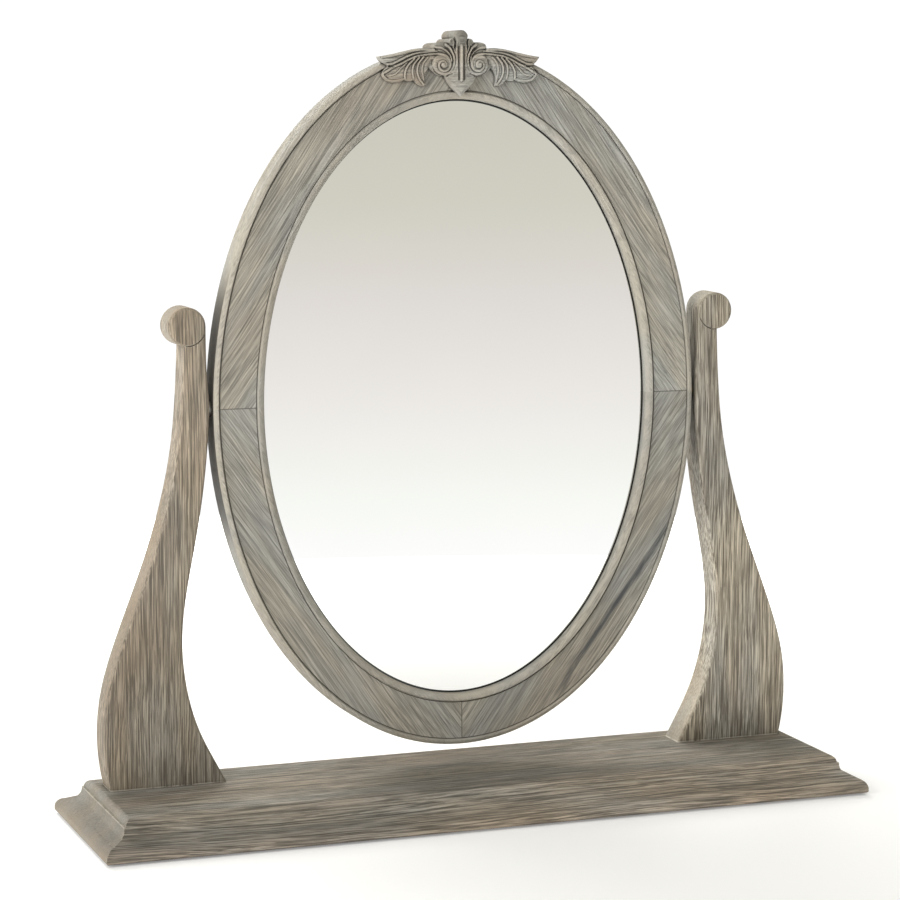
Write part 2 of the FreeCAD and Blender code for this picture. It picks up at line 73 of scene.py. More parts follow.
def add(tree, kind, **settings):
    node = tree.nodes.new("ShaderNode" + kind)
    for name, value in settings.items():
        setattr(node, name, value)
    return node


def feed(tree, node, **values):
    """Set or link inputs by name; spaces in a socket's name are written as underscores."""
    for name, value in values.items():
        socket = node.inputs[int(name[1:])] if name[0] == "i" and name[1:].isdigit() \
            else node.inputs[name.replace("_", " ")]
        if isinstance(value, bpy.types.NodeSocket):
            tree.links.new(value, socket)
        else:
            socket.default_value = value
    return node


def math_node(tree, operation, a, b=0.0, clamp=False):
    node = add(tree, "Math", operation=operation, use_clamp=clamp)
    return feed(tree, node, i0=a, i1=b).outputs[0]


def stretched_noise(tree, vector, stretch, detail=3.0, roughness=0.55, distortion=0.0):
    """Noise on a vector scaled differently along and across the grain."""
    scaled = add(tree, "VectorMath", operation="MULTIPLY")
    feed(tree, scaled, i0=vector, i1=stretch)
    noise = add(tree, "TexNoise")
    feed(tree, noise, Vector=scaled.outputs[0], Scale=1.0, Detail=detail,
         Roughness=roughness, Distortion=distortion)
    return noise.outputs[0]


def between(tree, value, low, high, to_low=0.0, to_high=1.0, smooth=True):
    node = add(tree, "MapRange", interpolation_type="SMOOTHSTEP" if smooth else "LINEAR")
    feed(tree, node, i0=value, i1=low, i2=high, i3=to_low, i4=to_high)
    return node.outputs[0]


def blend_colors(tree, factor, a, b, blend="MIX"):
    node = add(tree, "Mix", data_type="RGBA", blend_type=blend)
    feed(tree, node, i0=factor, i6=a, i7=b)
    return node.outputs[2]


def new_group(name, inputs, outputs):
    group = bpy.data.node_groups.new(name, "ShaderNodeTree")
    kinds = {"vector": "NodeSocketVector", "color": "NodeSocketColor", "value": "NodeSocketFloat"}
    for socket, kind, default in inputs:
        made = group.interface.new_socket(socket, in_out="INPUT", socket_type=kinds[kind])
        if default is not None:
            made.default_value = default
    for socket, kind in outputs:
        group.interface.new_socket(socket, in_out="OUTPUT", socket_type=kinds[kind])
    entry = group.nodes.new("NodeGroupInput")
    exit_node = group.nodes.new("NodeGroupOutput")
    return group, entry.outputs, exit_node


# ---------------------------------------------------------------- shared effects

def build_oak_grain():
    """Brushed and limed oak, its grain along the incoming X: rings, fibres, open pores, brown patches.

    Run Out calms the grain where it is cut across.
    """
    group, given, out = new_group("oak_grain", [
        ("Vector", "vector", None), ("Light", "color", (0.42, 0.37, 0.29, 1)),
        ("Dark", "color", (0.10, 0.085, 0.065, 1)), ("Warm", "color", (0.32, 0.22, 0.145, 1)),
        ("Warmth", "value", 0.4), ("Rings", "value", 0.35), ("Fibre", "value", 1.0),
        ("Streak", "value", 1.0), ("Pore", "value", 0.6), ("Run Out", "value", 0.0)],
        [("Color", "color"), ("Roughness", "value"), ("Height", "value")])
    vector = given["Vector"]
    calm = math_node(group, "SUBTRACT", 1.0, math_node(group, "MULTIPLY", given["Run Out"], 0.7))
    sway = stretched_noise(group, vector, (2.2, 7.0, 7.0), 2.0)
    ripple = stretched_noise(group, vector, (14.0, 60.0, 60.0), 2.0)
    slow, quick = (math_node(group, "MULTIPLY", math_node(group, "SUBTRACT", waves, 0.5), reach)
                   for waves, reach in ((sway, 0.020), (ripple, 0.0011)))
    drift = math_node(group, "ADD", slow, quick)
    wander = feed(group, add(group, "CombineXYZ"), Y=drift, Z=drift)
    swayed = feed(group, add(group, "VectorMath", operation="ADD"),
                  i0=vector, i1=wander.outputs[0]).outputs[0]

    rings = add(group, "TexWave", wave_type="RINGS", rings_direction="X", wave_profile="SAW")
    feed(group, rings, Vector=swayed, Scale=125.0, Distortion=0.6, Detail=2.0, Detail_Scale=2.0,
         Detail_Roughness=0.5)
    ring = rings.outputs[1]
    fibres = stretched_noise(group, swayed, (15.0, 760.0, 760.0), 3.0, 0.6)
    streaks = stretched_noise(group, swayed, (3.6, 230.0, 230.0), 3.0, 0.6)
    pores = stretched_noise(group, swayed, (32.0, 820.0, 820.0), 1.0, 0.5)
    patches = stretched_noise(group, swayed, (4.0, 17.0, 17.0), 3.0, 0.6)
    clouds = stretched_noise(group, vector, (3.0, 9.0, 9.0), 2.0, 0.5)

    def part(value, amount, gain):
        centred = math_node(group, "MULTIPLY", math_node(group, "SUBTRACT", value, 0.5), gain)
        return math_node(group, "MULTIPLY", centred, amount)

    tone = math_node(group, "ADD", part(ring, given["Rings"], 0.8), part(fibres, given["Fibre"], 4.2))
    tone = math_node(group, "ADD", tone, part(streaks, given["Streak"], 1.2))
    tone = math_node(group, "MULTIPLY", tone, calm)
    tone = math_node(group, "ADD", tone, part(clouds, given["Streak"], 1.0))
    tone = math_node(group, "ADD", tone, 0.5, clamp=True)
    color = blend_colors(group, tone, given["Dark"], given["Light"])
    warm = math_node(group, "MULTIPLY", between(group, patches, 0.44, 0.66), given["Warmth"])
    warm_color = blend_colors(group, tone, given["Dark"], given["Warm"])
    color = blend_colors(group, warm, color, warm_color)
    tints = stretched_noise(group, vector, (5.0, 24.0, 24.0), 2.0, 0.55)
    cool = blend_colors(group, between(group, tints, 0.36, 0.64), (1.0, 0.98, 0.95, 1), (0.93, 0.97, 1.03, 1))
    color = blend_colors(group, 1.0, color, cool, "MULTIPLY")
    along_ring = math_node(group, "MULTIPLY", math_node(group, "SUBTRACT", ring, 0.5), 0.10)
    in_ring = math_node(group, "ADD", pores, along_ring)
    pore = between(group, in_ring, 0.56, 0.60)
    pore = math_node(group, "MULTIPLY", pore, calm)
    color = blend_colors(group, math_node(group, "MULTIPLY", pore, given["Pore"]), color, given["Dark"])
    group.links.new(color, out.inputs["Color"])
    rough = between(group, fibres, 0.3, 0.7, 0.60, 0.76)
    group.links.new(rough, out.inputs["Roughness"])
    height = math_node(group, "SUBTRACT", math_node(group, "MULTIPLY", tone, 0.7), pore)
    group.links.new(height, out.inputs["Height"])
    return group


def build_rub_and_recess_shade():
    """Masks of the worn arrises and of painted shade in corners and recesses, found by ambient occlusion."""
    group, given, out = new_group("rub_and_recess_shade", [
        ("Vector", "vector", None), ("Width", "value", 0.0015), ("Depth", "value", 0.006)],
        [("Edge", "value"), ("Recess Shade", "value")])
    bevel = feed(group, add(group, "Bevel", samples=6), Radius=given["Width"])
    plain = add(group, "NewGeometry")
    turn = add(group, "VectorMath", operation="DOT_PRODUCT")
    feed(group, turn, i0=bevel.outputs[0], i1=plain.outputs["Normal"])
    sharp = between(group, turn.outputs["Value"], 0.995, 0.86)
    occlusion = feed(group, add(group, "AmbientOcclusion", samples=8), Distance=given["Depth"])
    open_share = occlusion.outputs["AO"]
    broken = stretched_noise(group, given["Vector"], (60.0, 240.0, 240.0), 3.0)
    edge = math_node(group, "MULTIPLY", sharp, between(group, open_share, 0.55, 0.85))
    edge = math_node(group, "MULTIPLY", edge, between(group, broken, 0.35, 0.6))
    # Painted shade: the less open a spot, the stronger its corner mask.
    corner = between(group, open_share, 0.85, 0.35)
    group.links.new(edge, out.inputs["Edge"])
    group.links.new(corner, out.inputs["Recess Shade"])
    return group


OAK_GRAIN = build_oak_grain()
RUB_AND_RECESS_SHADE = build_rub_and_recess_shade()


def use_group(tree, group, **values):
    node = add(tree, "Group", node_tree=group)
    return feed(tree, node, **values)


def new_material(name):
    material = bpy.data.materials.new(name)
    material.use_nodes = True
    tree = material.node_tree
    tree.nodes.clear()
    shader = add(tree, "BsdfPrincipled")
    output = add(tree, "OutputMaterial")
    tree.links.new(shader.outputs[0], output.inputs["Surface"])
    return material, tree, shader


def piece_vector(tree, turn=(0.0, 0.0, 0.0), shift=(0.0, 0.0, 0.0)):
    """Object coordinates turned so that X runs along the piece's grain."""
    coords = add(tree, "TexCoord")
    mapping = add(tree, "Mapping", vector_type="POINT")
    feed(tree, mapping, Vector=coords.outputs["Object"], Rotation=turn, Location=shift)
    return mapping.outputs[0]


def bumped(tree, height, strength, distance):
    bump = feed(tree, add(tree, "Bump"), Height=height, Strength=strength, Distance=distance)
    return bump.outputs[0]


def build_oval_marks():
    """Where a point lies on the oval frame.

    Roll Rub And Highlight marks the front of the rolled edges at the rim and the glass, which are worn
    and given a painted highlight, Joint the dark line of a glued joint on the flat, Seam the distance to the
    nearest joint, Upright Shadow the outer wall beside the uprights for a painted shadow, and Outward the
    distance out from the rail's middle.
    """
    group, given, out = new_group(
        "oval_marks", [("Vector", "vector", None), ("Normal", "vector", None)],
        [(mark, "value") for mark in ("Roll Rub And Highlight", "Joint", "Seam", "Upright Shadow", "Outward")])
    centred = add(group, "Mapping", vector_type="TEXTURE")
    feed(group, centred, Vector=given["Vector"], Location=PIVOT, Rotation=(-math.radians(REST_LEAN), 0, 0))
    place = feed(group, add(group, "SeparateXYZ"), Vector=centred.outputs[0])
    facing = feed(group, add(group, "SeparateXYZ"), Vector=given["Normal"])
    x, z = place.outputs["X"], place.outputs["Z"]

    def length(scale_x, scale_z):
        spans = [math_node(group, "MULTIPLY", math_node(group, "ABSOLUTE", c), k)
                 for c, k in ((x, scale_x), (z, scale_z))]
        parts = [math_node(group, "POWER", span, 2.0) for span in spans]
        return math_node(group, "SQRT", math_node(group, "ADD", *parts))

    ring = length(1 / RAIL_MID_W, 1 / RAIL_MID_H)
    steepness = length(1 / RAIL_MID_W ** 2, 1 / RAIL_MID_H ** 2)
    outward = math_node(group, "DIVIDE", math_node(group, "MULTIPLY", math_node(group, "SUBTRACT", ring, 1.0),
                                                   ring), steepness)
    rim = between(group, outward, 0.0200, 0.0212)
    lip = between(group, outward, -0.0178, -0.0190)
    # Painted highlight: only the front-facing part of each roll is lightened.
    front = between(group, math_node(group, "MULTIPLY", facing.outputs["Y"], -1.0), 0.12, 0.45)
    roll_rub_highlight = math_node(group, "MULTIPLY", math_node(group, "MAXIMUM", rim, lip), front)
    near = math_node(group, "MINIMUM", math_node(group, "ABSOLUTE", x), math_node(group, "ABSOLUTE", z))
    flat = math_node(group, "MULTIPLY", between(group, outward, 0.0206, 0.0196),
                     between(group, outward, -0.0188, -0.0178))
    joint = math_node(group, "MULTIPLY", between(group, near, 0.0009, 0.0002), flat)
    # Painted shadow on the sideways-facing outer wall beside the uprights.
    wall = math_node(group, "MULTIPLY", between(group, outward, 0.0235, 0.0255), between(
        group, math_node(group, "ABSOLUTE", z), 0.15, 0.09))
    wall = math_node(group, "MULTIPLY", wall, between(
        group, math_node(group, "MULTIPLY", facing.outputs["Y"], -1.0), 0.35, 0.12))
    group.links.new(roll_rub_highlight, out.inputs["Roll Rub And Highlight"])
    group.links.new(joint, out.inputs["Joint"])
    group.links.new(near, out.inputs["Seam"])
    group.links.new(wall, out.inputs["Upright Shadow"])
    group.links.new(outward, out.inputs["Outward"])
    return group


OVAL_MARKS = build_oval_marks()
# Pale lime for worn arrises, also used for painted highlights; near-black for painted shade in corners and
# recesses, also used for dark glued joints.
LIME_AND_HIGHLIGHT = (0.56, 0.515, 0.435, 1)
SHADE_AND_JOINT_DARK = (0.035, 0.031, 0.026, 1)


def oak(name, turn, shift, light=(0.43, 0.375, 0.295, 1), dark=(0.125, 0.104, 0.079, 1),
        warm=(0.37, 0.262, 0.178, 1), warmth=0.45, rings=0.35, fibre=1.0, streak=0.8, pore=0.5, rub=0.7,
        recess_shade=0.6, width=0.0014, depth=0.006, marks=None):
    """Weathered, limed oak; turn and shift place the board in its log, marks adds its own blemishes and its
    painted light and shade.
    """
    material, tree, shader = new_material(name)
    vector = piece_vector(tree, turn, shift)
    grain = use_group(tree, OAK_GRAIN, Vector=vector, Light=light, Dark=dark, Warm=warm, Warmth=warmth,
                      Rings=rings, Fibre=fibre, Streak=streak, Pore=pore, Run_Out=run_out(tree, turn))
    rub_shade_masks = use_group(tree, RUB_AND_RECESS_SHADE, Vector=vector, Width=width, Depth=depth)
    edge = math_node(tree, "MULTIPLY", rub_shade_masks.outputs["Edge"], rub)
    corner = math_node(tree, "MULTIPLY", rub_shade_masks.outputs["Recess Shade"], recess_shade)
    color = grain.outputs["Color"]
    if marks:
        color, edge, corner = marks(tree, vector, color, edge, corner)
    # Lightened towards lime on worn arrises and on painted highlights.
    color = blend_colors(tree, edge, color, LIME_AND_HIGHLIGHT)
    # Darkened towards near-black as painted shade in corners and recesses, and on dark glued joints.
    color = blend_colors(tree, corner, color, SHADE_AND_JOINT_DARK)
    feed(tree, shader, Base_Color=color, Roughness=grain.outputs["Roughness"],
         Normal=bumped(tree, grain.outputs["Height"], 0.5, 0.0006))
    return material


def run_out(tree, turn):
    """How far the grain runs out of the surface: 0 along the grain, 1 where it is cut across."""
    along = Euler(turn).to_matrix().inverted() @ Vector((1, 0, 0))
    lean = add(tree, "VectorMath", operation="DOT_PRODUCT")
    feed(tree, lean, i0=add(tree, "TexCoord").outputs["Normal"], i1=along)
    return between(tree, math_node(tree, "ABSOLUTE", lean.outputs["Value"]), 0.08, 0.42)


def rail_marks(tree, vector, color, edge, corner):
    """Worn rolls with a painted highlight along the rim and the glass, a dark line at each glued joint, and a
    painted shadow on the outer wall beside the uprights.
    """
    coords = add(tree, "TexCoord")
    oval = use_group(tree, OVAL_MARKS, Vector=coords.outputs["Object"], Normal=coords.outputs["Normal"])
    worn = stretched_noise(tree, coords.outputs["Object"], (70.0, 70.0, 70.0), 3.0, 0.6)
    roll_rub_highlight = math_node(tree, "MULTIPLY", oval.outputs["Roll Rub And Highlight"], between(tree, worn, 0.3, 0.62, 0.15, 0.5))
    edge = math_node(tree, "MULTIPLY", edge, between(tree, oval.outputs["Seam"], 0.002, 0.004))
    edge = math_node(tree, "MAXIMUM", edge, roll_rub_highlight)
    corner = math_node(tree, "MAXIMUM", corner, math_node(tree, "MULTIPLY", oval.outputs["Joint"], 0.6))
    # Painted shadow cast by the uprights on the outer wall.
    corner = math_node(tree, "MAXIMUM", corner, math_node(tree, "MULTIPLY", oval.outputs["Upright Shadow"], 0.85))
    return color, edge, corner


def streaked_rail_marks(tree, vector, color, edge, corner):
    """The lower right rail also has a long dark mineral streak along its grain."""
    place = feed(tree, add(tree, "SeparateXYZ"), Vector=vector)
    sway = stretched_noise(tree, vector, (9.0, 9.0, 9.0), 2.0)
    off = math_node(tree, "MULTIPLY", math_node(tree, "SUBTRACT", sway, 0.5), 0.016)
    across = math_node(tree, "ABSOLUTE", math_node(tree, "ADD", math_node(
        tree, "SUBTRACT", place.outputs["Z"], STREAK_ACROSS), off))
    streak = between(tree, across, 0.0052, 0.0008)
    for ends in (STREAK_ENDS, STREAK_ENDS[::-1]):
        fade = 0.03 if ends[0] < ends[1] else -0.03
        streak = math_node(tree, "MULTIPLY", streak, between(tree, place.outputs["X"], ends[0] - fade / 2,
                                                             ends[0] + fade))
    patchy = stretched_noise(tree, vector, (26.0, 260.0, 260.0), 3.0, 0.6)
    broken = between(tree, patchy, 0.3, 0.55, 0.35, 0.85)
    color = blend_colors(tree, math_node(tree, "MULTIPLY", streak, broken), color, (0.045, 0.05, 0.06, 1))
    return rail_marks(tree, vector, color, edge, corner)


def toned(tree, color, place, stops):
    """Lighten or darken a board along one coordinate, given as (place, share of its colour) pairs."""
    share = stops[0][1]
    for (low, before), (high, after) in zip(stops, stops[1:]):
        share = math_node(tree, "ADD", share, between(tree, place, low, high, 0.0, after - before))
    gray = feed(tree, add(tree, "CombineXYZ"), X=share, Y=share, Z=share)
    return blend_colors(tree, 1.0, color, gray.outputs[0], "MULTIPLY")


def foot_marks(stops):
    """An upright's tones from foot to scroll, with painted contact shade at the foot, and the lime left where
    its foot meets the plinth.
    """
    def marks(tree, vector, color, edge, corner):
        place = feed(tree, add(tree, "SeparateXYZ"), Vector=add(tree, "TexCoord").outputs["Object"])
        color = toned(tree, color, place.outputs["Z"], stops)
        line = between(tree, place.outputs["Z"], FOOT_LEVEL + 0.0015, FOOT_LEVEL + 0.0009)
        broken = between(tree, stretched_noise(tree, vector, (90.0, 90.0, 90.0), 2.0), 0.35, 0.55)
        edge = math_node(tree, "MAXIMUM", edge, math_node(tree, "MULTIPLY", math_node(
            tree, "MULTIPLY", line, broken), 0.7))
        clear = math_node(tree, "SUBTRACT", 1.0, math_node(tree, "MULTIPLY", line, 0.85))
        return color, edge, math_node(tree, "MULTIPLY", corner, clear)
    return marks


# Shares of the plinth's colour: up its moulding, with painted shade on the nose slope; from left to right on
# its top, with a painted shadow of the mirror across the middle; and from left to right on its front.
MOULDING_SHADE_TONES = ((0.0, 1.0), (0.006, 1.0), (0.012, 0.86), (0.018, 0.80), (0.024, 0.98), (0.032, 0.95),
                  (0.0375, 1.0))
TOP_SHADOW_TONES = ((-0.24, 1.0), (-0.06, 0.76), (0.04, 0.76), (0.22, 1.0))
FRONT_TONES = ((-0.20, 1.03), (0.12, 1.42))
TOP_FROM = 0.0365
TOP_FULL = 0.0375
FILLET_LEVEL = 0.0304


def plinth_marks(tree, vector, color, edge, corner):
    """Painted shade on the moulding's nose, a painted shadow of the mirror across the middle of the top,
    painted bounce light making it warmer towards the bottom, and a broken painted highlight along the small
    fillet.
    """
    place = feed(tree, add(tree, "SeparateXYZ"), Vector=add(tree, "TexCoord").outputs["Object"])
    color = toned(tree, color, place.outputs["Z"], MOULDING_SHADE_TONES)
    on_top = between(tree, place.outputs["Z"], TOP_FROM, TOP_FULL)
    top = toned(tree, color, place.outputs["X"], TOP_SHADOW_TONES)
    front = toned(tree, color, place.outputs["X"], FRONT_TONES)
    color = blend_colors(tree, on_top, front, top)
    # Painted light: warmer towards the bottom, as if bounced up from the floor.
    low = between(tree, place.outputs["Z"], 0.022, 0.006, 0.0, 0.5)
    floor_bounce_tint = blend_colors(tree, 1.0, color, (1.13, 0.99, 0.86, 1), "MULTIPLY")
    color = blend_colors(tree, low, color, floor_bounce_tint)
    # Painted highlight along the edge of the small fillet.
    fillet = math_node(tree, "ABSOLUTE", math_node(tree, "SUBTRACT", place.outputs["Z"], FILLET_LEVEL))
    line = math_node(tree, "MULTIPLY", between(tree, fillet, 0.0012, 0.0004), between(
        tree, stretched_noise(tree, vector, (24.0, 60.0, 60.0), 3.0), 0.36, 0.6, 0.1, 0.6))
    return color, math_node(tree, "MAXIMUM", edge, line), corner


def dress(names, material):
    for name in names:
        nodes[name].data.materials.clear()
        nodes[name].data.materials.append(material)


# ---------------------------------------------------------------- oak pieces

dress(["plinth"], oak("plinth_oak", (0, 0, 0), (0.0, 0.33, 0.12), warmth=0.3, streak=0.7,
                      light=(0.42, 0.38, 0.32, 1), dark=(0.10, 0.09, 0.073, 1), marks=plinth_marks))
# Shares of each upright's colour up its height: the left lighter towards its scroll, the right lightest low
# down; the darker foot is painted contact shade where it meets the plinth.
LEFT_TONES = ((0.04, 0.98), (0.08, 1.02), (0.20, 1.02), (0.25, 1.2), (0.34, 1.2), (0.38, 1.4), (0.50, 1.3))
RIGHT_TONES = ((0.04, 1.0), (0.08, 1.38), (0.24, 1.42), (0.31, 1.08), (0.46, 1.12), (0.50, 1.10))
dress(["left_upright"], oak("left_upright_oak", (0, QUARTER, 0), (0.1, 0.05, 0.09), warmth=0.35, streak=0.5,
                            marks=foot_marks(LEFT_TONES)))
dress(["right_upright"], oak("right_upright_oak", (0, QUARTER, 0), (0.7, 0.15, 0.22), warmth=0.3,
                             light=(0.55, 0.50, 0.41, 1), streak=0.5, marks=foot_marks(RIGHT_TONES)))
RAIL_BOARDS = (("upper_left", RAIL_SLOPE, (0.2, 0.17, 0.09), (0.60, 0.565, 0.49, 1), 0.25),
               ("upper_right", -RAIL_SLOPE, (0.6, 0.21, -0.13), (0.63, 0.60, 0.52, 1), 0.15),
               ("lower_left", -RAIL_SLOPE, (0.4, 0.11, 0.29), (0.56, 0.525, 0.455, 1), 0.3),
               ("lower_right", RAIL_SLOPE, (0.9, 0.14, 0.33), (0.54, 0.515, 0.45, 1), 0.3))
STREAK_ACROSS = 0.33 - 0.0286
STREAK_ENDS = (0.9 + 0.146, 0.9 + 0.356)
for corner, slope, shift, light, warmth in RAIL_BOARDS:
    dress(["frame_" + corner], oak("rail_oak_" + corner, (0, slope, 0), shift, light=light,
                                   dark=(0.20, 0.188, 0.162, 1), warmth=warmth, rings=0.2, fibre=0.65,
                                   streak=0.4, pore=0.3, rub=0.75, recess_shade=0.9, depth=0.0045,
                                   marks=streaked_rail_marks if corner == "lower_right" else rail_marks))
dress(["crest_block"], oak("crest_block_oak", (0, 0, 0), (0.5, 0.2, 0.4), warmth=0.3, rings=0.2,
                           light=(0.42, 0.40, 0.35, 1)))


# The knob is browner and less rubbed than the wings below it.
CREST_TONES = ((0.755, 1.1), (0.764, 0.62))
KNOB_FROM = 0.755
KNOB_FULL = 0.766


def carving_marks(tree, vector, color, edge, corner):
    """Worn ridges and painted shade in the dips, from how far each spot stands above its surroundings."""
    ridge = add(tree, "Attribute", attribute_name="ridge").outputs["Fac"]
    cavity_shade = add(tree, "Attribute", attribute_name="cavity_shade").outputs["Fac"]
    worn = between(tree, stretched_noise(tree, vector, (120.0, 160.0, 160.0), 3.0), 0.3, 0.6, 0.45, 1.0)
    ridges = math_node(tree, "MULTIPLY", between(tree, ridge, 0.25, 0.95), worn)
    # Painted shade: darker where the carving dips below its surroundings.
    cavity_shading = math_node(tree, "MULTIPLY", between(tree, cavity_shade, 0.15, 0.9), 0.8)
    place = feed(tree, add(tree, "SeparateXYZ"), Vector=add(tree, "TexCoord").outputs["Object"])
    color = toned(tree, color, place.outputs["Z"], CREST_TONES)
    rub = between(tree, place.outputs["Z"], KNOB_FROM, KNOB_FULL, 0.62, 0.25)
    edge = math_node(tree, "MULTIPLY", math_node(tree, "MAXIMUM", edge, ridges), rub)
    return color, edge, math_node(tree, "MAXIMUM", corner, cavity_shading)


CREST_OAK = oak("crest_oak", (0, 0, 0), (0.5, 0.2, 0.4), warmth=0.8, rings=0.15, fibre=0.6,
                streak=0.5, pore=0.25, light=(0.70, 0.675, 0.60, 1), dark=(0.20, 0.188, 0.162, 1),
                rub=0.7, recess_shade=0.8, width=0.0016, depth=0.0045, marks=carving_marks)
dress(["crest_carving"], CREST_OAK)


# ---------------------------------------------------------------- carved crest

CREST_GRID = 0.6
CAVITY_REACH = 1.5
CAVITY_DEPTH = 0.8
# Lines of the carving on one side, in mm: out from the middle, up from the frame's top edge.
RIDGES = (
    # line, half width and top height at its start, half width and top height at its end
    ([(16.0, 1.0), (11.4, -2.6), (8.4, -8.6), (7.2, -15.0), (8.4, -21.6), (12.2, -26.2), (17.6, -27.6),
      (22.8, -26.2), (26.4, -22.4), (27.0, -17.6)], (1.5, 7.4), (1.3, 4.4)),
    ([(81.0, -27.4), (76.0, -24.6), (70.0, -20.8), (62.0, -17.6), (54.0, -13.6), (46.0, -10.4), (36.0, -8.6),
      (26.0, -7.8), (18.4, -8.8), (13.2, -12.4), (11.2, -17.6), (12.9, -22.4), (17.2, -24.6), (21.6, -23.4),
      (23.6, -19.8), (22.2, -16.2), (18.6, -15.2), (16.2, -17.4), (16.8, -20.2), (19.0, -20.6)],
     (1.2, 4.2), (1.2, 8.6)),
    ([(26.4, -1.6), (20.6, -2.2), (15.0, -5.0), (10.9, -10.0), (9.8, -15.0)], (1.1, 5.6), (0.9, 6.4)),
    ([(28.0, -4.2), (46.0, -4.4), (60.0, -7.4), (72.0, -10.0), (82.0, -11.6)], (1.5, 5.6), (0.9, 3.6)),
    ([(25.0, -5.4), (36.0, -6.2), (46.0, -7.4), (55.0, -10.2), (63.0, -14.0), (70.0, -17.2), (76.5, -18.2)],
     (1.1, 5.4), (1.2, 4.8)),
    ([(34.0, -11.0), (38.6, -16.6), (40.2, -23.0), (39.2, -30.0), (36.8, -38.0)], (1.0, 4.4), (1.0, 4.0)),
    ([(39.0, -11.0), (44.0, -17.4), (45.4, -24.6), (43.4, -31.6), (38.4, -38.2)], (1.2, 5.4), (1.0, 4.4)),
    ([(43.4, -11.6), (48.6, -17.6), (50.2, -24.6), (49.2, -32.0)], (1.2, 5.6), (1.0, 4.0)),
    ([(48.4, -12.8), (54.8, -19.0), (57.8, -25.8), (58.2, -32.4)], (1.2, 5.6), (1.0, 4.0)),
    ([(56.0, -16.6), (62.0, -22.0), (68.0, -27.6), (76.0, -29.6)], (0.9, 4.4), (0.8, 3.4)),
    ([(60.0, -32.6), (68.0, -34.6), (76.0, -33.2), (80.6, -28.8)], (1.1, 3.4), (1.0, 3.8)),
    ([(12.6, 3.0), (11.2, 5.8), (8.6, 5.6), (7.8, 2.6), (8.4, -1.4), (6.2, -7.0)], (1.1, 6.8), (0.9, 6.6)),
    ([(4.6, 3.0), (5.2, -6.0), (4.6, -16.0), (6.8, -24.0), (12.6, -29.6)], (0.9, 7.4), (1.0, 6.0)),
    ([(0.0, 0.0), (0.0, -33.5)], (1.6, 9.4), (1.5, 9.2)),
)
GOUGES = (
    ([(2.6, -1.0), (2.7, -33.0)], 1.0, 1.5),
    ([(7.4, 8.4), (5.9, 3.4), (6.4, -2.0)], 0.9, 2.0),
    ([(29.6, -15.0), (33.0, -20.6)], 2.6, 1.6),
    ([(9.6, -27.4), (16.4, -30.4)], 1.2, 1.2),
    ([(74.6, -20.0), (69.6, -20.4)], 1.0, 1.4),
)


def flowing(points, steps=8):
    """Points along a smooth curve through the given ones."""
    run = [np.array(p) for p in points]
    run = [2 * run[0] - run[1]] + run + [2 * run[-1] - run[-2]]
    out = []
    for a, b, c, d in zip(run, run[1:], run[2:], run[3:]):
        for i in range(steps):
            t = i / steps
            out.append(0.5 * (2 * b + (c - a) * t + (2 * a - 5 * b + 4 * c - d) * t ** 2
                              + (3 * b - a - 3 * c + d) * t ** 3))
    return np.array(out + [run[-2]])


def along_line(x, z, points):
    """Distance of each grid point from a curve, and how far along the curve the nearest place is."""
    line = flowing(points)
    nearest = np.full(x.shape, 1e9)
    share = np.zeros(x.shape)
    for i, (a, b) in enumerate(zip(line, line[1:])):
        run = b - a
        t = np.clip(((x - a[0]) * run[0] + (z - a[1]) * run[1]) / (run @ run), 0, 1)
        distance = np.hypot(x - a[0] - t * run[0], z - a[1] - t * run[1])
        closer = distance < nearest
        nearest = np.where(closer, distance, nearest)
        share = np.where(closer, (i + t) / (len(line) - 1), share)
    return nearest, share


def dome(x, z, centre, radius, low, high):
    q = np.hypot((x - centre[0]) / radius[0], (z - centre[1]) / radius[1])
    return np.where(q < 1, low + (high - low) * np.sqrt(np.clip(1 - q * q, 0, 1)), 0)


def carved_height(x, z):
    """How far the carving stands out of the frame's face, in mm."""
    x = np.abs(x)
    height = 3.6 - 0.9 * np.clip((x - 30) / 50, 0, 1)
    height = np.maximum(height, dome(x, z, (19.0, -18.0), (10.4, 10.4), 4.2, 6.6))
    height = np.maximum(height, dome(x, z, (19.2, -18.8), (2.6, 2.6), 7.0, 9.2))
    height = np.maximum(height, dome(x, z, (0.0, 7.0), (8.0, 9.4), 3.4, 9.2))
    height = np.maximum(height, dome(x, z, (10.0, 3.4), (4.2, 4.2), 4.0, 6.4))
    height = np.maximum(height, dome(x, z, (21.0, 0.6), (8.4, 4.4), 3.2, 5.2))
    waist = np.interp(z, [-50, -43, -35, -28, -23, -15, -8, 0, 6], [0, 7.6, 14.4, 17, 9.6, 7.2, 8, 8, 7])
    across = np.clip(x / np.maximum(waist, 0.1), 0, 1)
    crown = 7.2 - np.clip((-z - 34) / 15, 0, 1) * 2.0
    shield = crown - 2.4 * across ** 2
    height = np.where((x < waist) & (z < 6), np.maximum(height, shield), height)
    for points, start, end in RIDGES:
        distance, share = along_line(x, z, points)
        half = start[0] + (end[0] - start[0]) * share
        top = start[1] + (end[1] - start[1]) * share
        q = distance / half
        height = np.where(q < 1, np.maximum(height, height + (top - height) * (1 - q * q)), height)
        shadow = (q >= 1) & (q < 1.9)
        height = np.where(shadow, height - 0.5 * (1 - np.abs(q - 1.45) / 0.45), height)
    for points, half, depth in GOUGES:
        distance, share = along_line(x, z, points)
        q = np.clip(distance / half, 0, 1)
        height = height - depth * (1 - q * q)
    return np.clip(height, 1.2, 9.5)


